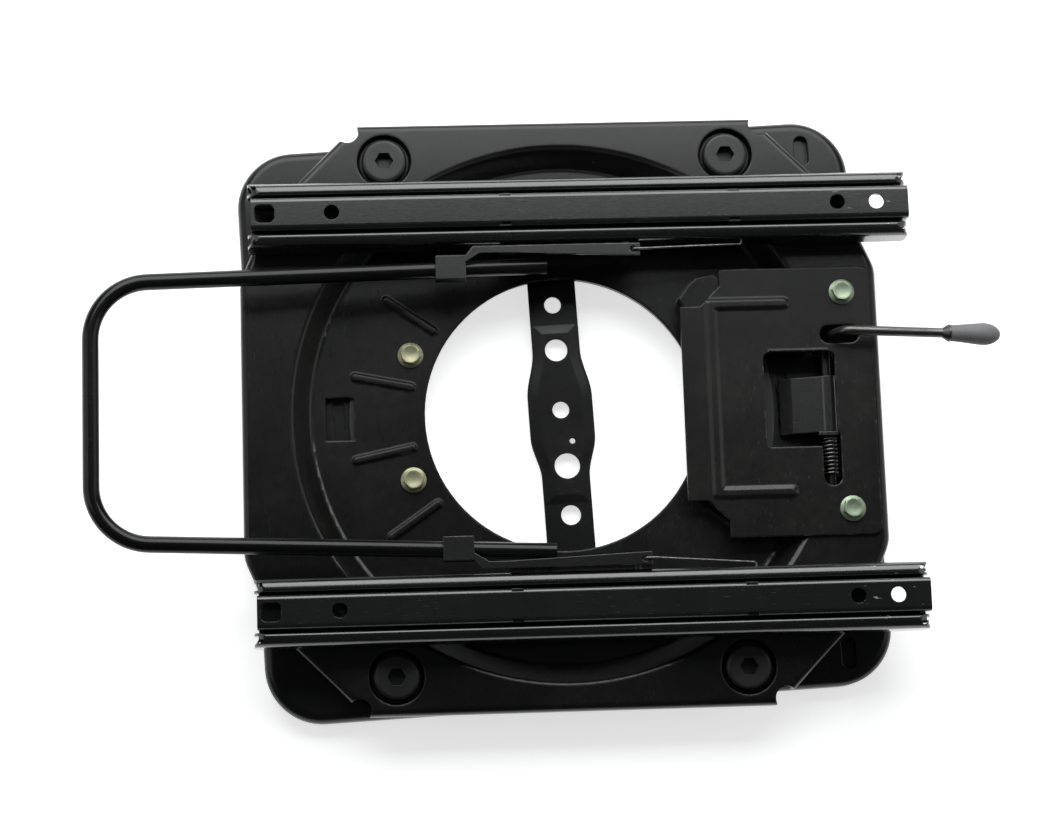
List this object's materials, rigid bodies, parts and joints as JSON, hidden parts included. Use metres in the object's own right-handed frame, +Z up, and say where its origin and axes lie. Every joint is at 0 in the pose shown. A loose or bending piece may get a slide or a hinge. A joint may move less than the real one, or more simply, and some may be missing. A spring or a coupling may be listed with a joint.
{
  "type": "swivel seat base",
  "caption": "Pressed-steel swivel base for a camper seat: floor pan, dished turntable on a ring bearing, sliding seat rails with a release bar, and a sprung lever that locks the swivel.",
  "frame": {"origin": "on the swivel axis, at the level of the floor under the pan", "axes": "+Z up along the swivel axis, +X towards the back of the seat where the swivel lever is, +Y to the seat's right"},
  "size_m": [0.6367, 0.4216, 0.0817],
  "materials": {
    "black_paint": "satin black paint",
    "nylon": "moulded",
    "yellow_zinc": "yellow zinc plate",
    "bright_steel": "bare or white zinc plate",
    "grey_plastic": "moulded"
  },
  "bodies": {
    "base": {"base_plate": "black_paint", "upper_glide_ring": "nylon", "cross_strap": "black_paint", "strap_rivets": "black_paint"},
    "turntable": {"turntable_plate": "black_paint", "lower_glide_ring": "nylon", "retaining_ring": "black_paint", "ring_bolts": "yellow_zinc", "lock_plate": "black_paint", "lock_bolts": "yellow_zinc", "lock_nuts": "yellow_zinc", "corner_pads": "nylon", "lever_bracket": "black_paint", "lever_spring": "bright_steel", "lower_rail_right": "black_paint", "lower_rail_left": "black_paint", "rail_screws": "bright_steel", "rail_nuts": "bright_steel", "latch_pivots": "bright_steel", "latch_springs": "bright_steel"},
    "seat_rails": {"upper_rail_right": "black_paint", "upper_rail_left": "black_paint", "glide_shoes": "nylon"},
    "rail_release": {"release_bar": "black_paint", "latch_lever_right": "black_paint", "latch_lever_left": "black_paint"},
    "swivel_lever": {"lever_rod": "bright_steel", "lever_grip": "grey_plastic", "lock_pawl": "black_paint"}
  },
  "joints": [
    {"name": "swivel", "type": "hinge", "parent": "base", "child": "turntable", "pos_m": [0, 0, 0.018], "axis": [0, 0, 1], "continuous": true},
    {"name": "seat_slide", "type": "slide", "parent": "turntable", "child": "seat_rails", "axis": [1, 0, 0], "range_m": [-0.08, 0.08]},
    {"name": "bar_lift", "type": "hinge", "parent": "turntable", "child": "rail_release", "pos_m": [0.046, 0, 0.053], "axis": [0, 1, 0], "range_deg": [0, 4]},
    {"name": "lever_press", "type": "hinge", "parent": "turntable", "child": "swivel_lever", "pos_m": [0.1865, 0, 0.03], "axis": [0, 1, 0], "range_deg": [0, 12], "stiffness_Nm_per_rad": 0.5, "springref_deg": -28.65}
  ]
}
